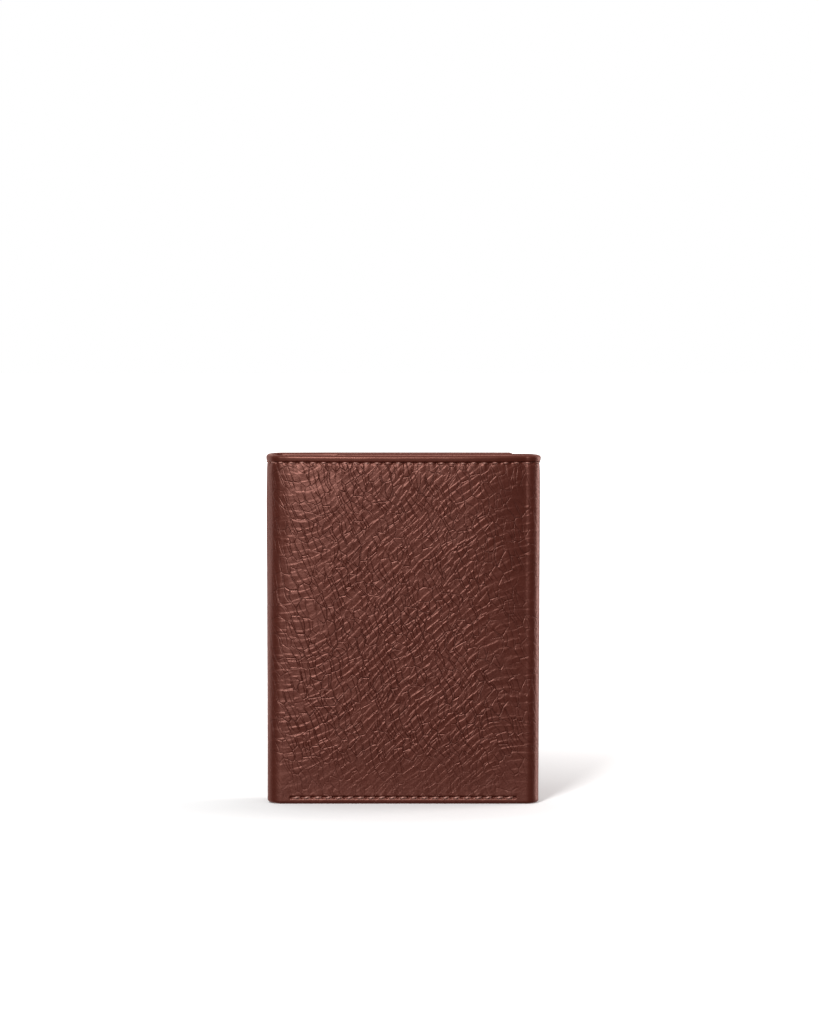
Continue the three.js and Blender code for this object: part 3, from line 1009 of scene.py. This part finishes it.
def on_panel(x, z, depth):
    """Points on the middle panel, at a depth under its outer face."""
    return np.stack([x, FRONT_Y - swell(x, z) + depth, z], -1)


WINDOW_SILL = low("id_window")[2] + 4.0
OPENING = (-24.0, 24.0, WINDOW_SILL, high("id_window")[2] - 4.0)


def make_id_frame():
    """The leather frame over the window: rounded edges, a tooled line round the opening."""
    x0, x1 = low("id_frame")[0], high("id_frame")[0]
    z0, z1 = low("id_frame")[2], high("id_frame")[2]
    near_depth, far_depth = panel_depth("center", "id_frame")
    outer = rounded_outline(x0, x1, z0, z1, 1.6)
    opening = rounded_outline(*OPENING, 3.0)
    half = (far_depth - near_depth) / 2
    middle = (far_depth + near_depth) / 2
    rims = []
    reach = np.hypot(*(opening - outer).T)
    direction = (opening - outer) / reach[:, None]

    def add(distance_in, depth):
        at = outer + direction * distance_in[:, None]
        rims.append(on_panel(at[:, 0], at[:, 1], depth))

    for angle in np.radians(np.linspace(180, 90, 5)):
        add(half * (1 + np.cos(angle)) * np.ones(len(outer)), middle + half * np.sin(angle))
    for t in np.linspace(0.04, 0.96, 30):
        inwards = half + (reach - 2 * half) * t
        seam = 0.1 * np.exp(-(((inwards - 2.0) / 0.4) ** 2)) * (outer[:, 1] < z1 - 1)
        tooled = 0.12 * np.exp(-(((reach - inwards - 1.5) / 0.22) ** 2))
        at = outer + direction * inwards[:, None]
        add(inwards, far_depth - seam - tooled + 0.03 * noise(at[:, 0] / 7, at[:, 1] / 8, 3))
    for angle in np.radians(np.linspace(90, -90, 9)):
        add(reach - half * (1 - np.cos(angle)), middle + half * np.sin(angle))
    add(reach * 0.5, near_depth + 0 * reach)
    for angle in np.radians(np.linspace(270, 202, 4)):
        add(half * (1 + np.cos(angle)) * np.ones(len(outer)), middle + half * np.sin(angle))
    points, faces = closed_ring(rims)
    rest = np.stack([points[:, 0], points[:, 2], np.full(len(points), 90.0)], 1)
    piece = make_mesh("id_frame_leather", points, faces, values={"rest_mm": rest})
    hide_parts("id_frame")
    finish_piece(piece, "inner_leather", "center")


make_id_frame()

# ---------------------------------------------------------------- stitches


WHOLE = joined(list(STRIP))


def on_strip(u, z, height):
    """Points over the leather's smooth form. A negative height is under it."""
    here = columns_at(WHOLE, u)
    xy = here["point"] + here["outward"] * (swell(u, z) + height)[..., None]
    return np.concatenate([xy, z[..., None]], -1)


RINGS, SIDES = 13, 12


def stitch_points(u, z, along, half, base, bulge, sink, radius, upright):
    """One stitch: a thick twisted thread that bows over the leather and dives into a hole at each end.
    upright is 1 for a stitch on the outer face and -1 for one on an inner face."""
    t = np.linspace(-1, 1, RINGS)[:, None]
    angle = np.linspace(0, 2 * math.pi, SIDES, endpoint=False)[None, :]
    twist = 1 + 0.13 * np.cos(3 * angle - 5.5 * t)
    taper = np.sqrt(np.clip(1 - np.abs(t) ** 5, 0.0004, 1))
    r = radius * taper * twist
    across = r * np.cos(angle)
    height = base + upright * (bulge * (1 - t**2) - sink * np.abs(t) ** 3 + r * np.sin(angle))
    cosine, sine = math.cos(along), math.sin(along)
    pu = u + cosine * t * half - sine * across
    pz = z + sine * t * half + cosine * across
    rest = np.stack([t * half + 0 * angle, 0 * t + angle, np.full(across.shape, u + z)], -1)
    return pu, pz, height, rest


def make_stitches(name, stitches):
    """One mesh for a seam's stitches, each given as the arguments of stitch_points."""
    grid = np.arange(RINGS * SIDES).reshape(RINGS, SIDES)
    wrapped = np.concatenate([grid, grid[:, :1]], 1)
    corners = [wrapped[:-1, :-1], wrapped[:-1, 1:], wrapped[1:, 1:], wrapped[1:, :-1]]
    faces = np.stack(corners, -1).reshape(-1, 4)
    caps = [grid[0, ::-1].tolist(), grid[-1].tolist()]
    points, rest, all_faces = [], [], []
    for index, stitch in enumerate(stitches):
        u, z, height, place = stitch_points(*stitch)
        points.append(on_strip(u, z, height).reshape(-1, 3))
        rest.append(place.reshape(-1, 3))
        offset = index * RINGS * SIDES
        turned = faces[:, ::-1] if stitch[-1] > 0 else faces
        all_faces += (turned + offset).tolist()
        all_faces += [[v + offset for v in (cap if stitch[-1] > 0 else cap[::-1])] for cap in caps]
    return make_mesh(name, np.concatenate(points), all_faces, values={"rest_mm": np.concatenate(rest)})


STITCH_RANDOM = np.random.default_rng(7)


def uneven(amount):
    return amount * STITCH_RANDOM.uniform(-1, 1)


def middles(start, end, phase):
    """Where each stitch's middle lies between two ends of a seam, on a pitch of STITCH from phase."""
    first = math.ceil((start - phase) / STITCH - 0.5)
    last = math.floor((end - phase) / STITCH - 0.5)
    return [phase + (k + 0.5) * STITCH for k in range(first, last + 1)]


def inner_stitch(u, z, along, depth, half=1.35, bulge=0.12):
    return u, z, along, half, -depth, bulge, 0.3, 0.22, -1


def top_stitches(start, end):
    z = HEIGHT - SEAM_INSET
    made = []
    for u in middles(start, end, TOP_SEAM_PHASE):
        made.append((u, z + uneven(0.06), math.radians(-3 + uneven(4)), 0.9, -0.26, 0.12, 0.25, 0.2, 1))
        made.append((u, z, 0.0, 1.45, -EDGE_THICKNESS - 0.02, 0.12, 0.3, 0.2, -1))
    return made


def bottom_stitches(start, end, depth):
    made = []
    for u in middles(start, end, bottom_phase(start, end)):
        at = u + uneven(0.12)
        z = BOTTOM_SEAM_Z + uneven(0.07)
        made.append((at, z, math.radians(8 + uneven(6)), 1.2, 0.02, 0.2, 0.5, 0.28, 1))
        made.append(inner_stitch(u, BOTTOM_SEAM_Z, 0.0, depth, 1.4))
    return made


def inner_face(panel, z):
    """How deep the innermost layer's face lies at that height on a flap, at its free edge."""
    for level in ("lower", "middle", "upper"):
        node = f"{panel}_pocket_{level}"
        if z < high(node)[2]:
            return panel_depth(panel, node)[1]
    return DIVIDER_DEPTH[1] if z < DIVIDER_Z[1] else EDGE_THICKNESS


def side_stitches(panel):
    made = []
    u = free_seam(panel)
    for z in middles(BOTTOM_SEAM_Z, HEIGHT - SEAM_INSET - 0.5, BOTTOM_SEAM_Z):
        made.append((u, z, math.pi / 2 + uneven(0.06), 1.3, -0.16, 0.18, 0.35, 0.24, 1))
        made.append(inner_stitch(u, z, math.pi / 2, inner_face(panel, z)))
    u = pocket_seam(panel)
    top = high(f"{panel}_pocket_upper")[2]
    for z in middles(BOTTOM_SEAM_Z + 1, top - 0.8, BOTTOM_SEAM_Z):
        made.append(inner_stitch(u, z, math.pi / 2, inner_face(panel, z)))
    return made


def frame_stitches():
    x0, x1 = low("id_frame")[0] + 2, high("id_frame")[0] - 2
    z0, z1 = low("id_frame")[2] + 2, high("id_frame")[2] - 1
    depth = panel_depth("center", "id_frame")[1]
    made = [inner_stitch(u, z0, 0.0, depth, bulge=0.14) for u in middles(x0, x1, 0.0)]
    for x in (x0, x1):
        heights = middles(z0 + 0.6, z1, z0 + 0.6)
        made += [inner_stitch(x, z, math.pi / 2, depth, bulge=0.14) for z in heights]
    return made


def sew(seam, body, stitches):
    """A seam on one body, in place of its CAD thread."""
    piece = finish_piece(make_stitches(f"{seam}_stitches", stitches), "thread", body)
    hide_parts(f"{seam}_thread")


def make_threads():
    for name, run in STRIP.items():
        start = max(run["u"][0], TOP_RANGE[0])
        end = min(run["u"][-1], TOP_RANGE[1])
        inside = [s for s in top_stitches(start - 1.7, end + 1.6) if start <= s[0] < end]
        if name in FOLD_BODIES:
            bend_piece(make_stitches(f"{name}_top_stitches", inside), "thread", name)
        else:
            sew(f"{name}_top", name, inside)
    for name, (start, end) in zip(("outer_flap", "center", "inner_flap"), BOTTOM_RANGES):
        depth = panel_depth(name, "id_frame" if name == "center" else f"{name}_pocket_lower")[1]
        sew(f"{name}_bottom", name, bottom_stitches(start, end, depth))
    for name in ("outer_flap", "inner_flap"):
        sew(f"{name}_side", name, side_stitches(name))
    sew("id_frame", "center", frame_stitches())


make_threads()

# ---------------------------------------------------------------- camera, light and floor

CAMERA_DISTANCE = 1.6
CAMERA_Z = 0.186
AIM = Vector((0.002, FRONT_Y * MM, 0.0905))
WARM = (1.0, 0.66, 0.6)  # what the room throws back on glossy leather
LONG_SIDE = 0.3152  # what the picture's long side spans at the front face


def add_camera():
    data = bpy.data.cameras.new("camera")
    camera = bpy.data.objects.new("camera", data)
    bpy.context.scene.collection.objects.link(camera)
    camera.location = (AIM.x, AIM.y - CAMERA_DISTANCE, CAMERA_Z)
    camera.rotation_euler = (AIM - camera.location).to_track_quat("-Z", "Y").to_euler()
    data.sensor_width = 36
    data.lens = data.sensor_width * CAMERA_DISTANCE / LONG_SIDE
    data.clip_end = 60
    bpy.context.scene.camera = camera


def add_light(name, kind, energy, place, target, **settings):
    """A lamp at a place, turned to a target, both in millimetres."""
    data = bpy.data.lights.new(name, kind)
    data.energy = energy
    for key, value in settings.items():
        setattr(data, key, value)
    light = bpy.data.objects.new(name, data)
    bpy.context.scene.collection.objects.link(light)
    light.location = Vector(place) * MM
    towards = (Vector(place) - Vector(target)).normalized()
    light.rotation_euler = towards.to_track_quat("Z", "Y").to_euler()


def add_world():
    """A dim room in front, bright behind and overhead, and plain white where the camera sees it."""
    world = bpy.data.worlds.new("studio")
    m = Nodes(world, "Background")
    _, backwards, upwards = m.parts(m.node("ShaderNodeTexCoord").outputs["Generated"])
    behind = m.scaled(backwards, -0.1, 0.5, 0.05, 0.9)
    above = m.scaled(upwards, 0.2, 0.95, 0.0, 0.55)
    ray = m.node("ShaderNodeLightPath").outputs
    lit = m.math("MAXIMUM", behind, above)
    strength = m.node("ShaderNodeMix", {0: ray["Is Camera Ray"], 2: lit, 3: 1.0}).outputs[0]
    m.set(strength=strength, color=m.mix(ray["Is Glossy Ray"], (1, 1, 1, 1), (*WARM, 1)))
    bpy.context.scene.world = world


def add_floor():
    side = 4.0
    mesh = bpy.data.meshes.new("floor")
    corners = [(x * side, y * side, 0) for x, y in ((-1, -1), (1, -1), (1, 1), (-1, 1))]
    mesh.from_pydata(corners, [], [(0, 1, 2, 3)])
    floor = bpy.data.objects.new("floor", mesh)
    bpy.context.scene.collection.objects.link(floor)
    m = Nodes(bpy.data.materials.new("floor_with_painted_glow"))
    place = m.node("ShaderNodeNewGeometry").outputs["Position"]
    away = m.node("ShaderNodeVectorMath", {0: place}, operation="LENGTH").outputs["Value"]
    # painted light: the floor glows, faintly near the wallet so its shadows show and fully white farther off
    glow = m.ramp(m.scaled(away, 0.05, 0.4, 0.0, 1.0), [(0.0, (0.08, 0.08, 0.08)), (1.0, (1.0, 1.0, 1.0))])
    m.set(
        base_color=(0.85, 0.85, 0.85, 1), roughness=0.9, specular_ior_level=0.0,
        emission_color=glow, emission_strength=1.0,
    )
    mesh.materials.append(m.data)
    floor.visible_diffuse = False
    floor.visible_glossy = False


add_camera()
add_world()
add_floor()
SOFTBOX = {"shape": "RECTANGLE", "size": 0.22, "size_y": 0.56}
RIM = {"shape": "RECTANGLE", "size": 0.2, "size_y": 0.4, "color": (1.0, 0.86, 0.83)}
add_light("key_softbox", "AREA", 19.0, (-300, -1175, 578), (-10, FRONT_Y, 50), **SOFTBOX)
add_light("rim_right", "AREA", 1.4, (420, 150, 130), (30, 0, 54), **RIM)
add_light("rim_left", "AREA", 0.12, (-420, 190, 130), (-30, 0, 54), **RIM)
add_light("shadow_sun", "SUN", 0.3, (-276.702, -760.232, 641.785), (0, 0, 54), angle=math.radians(14))

bpy.context.scene.view_settings.view_transform = "Standard"
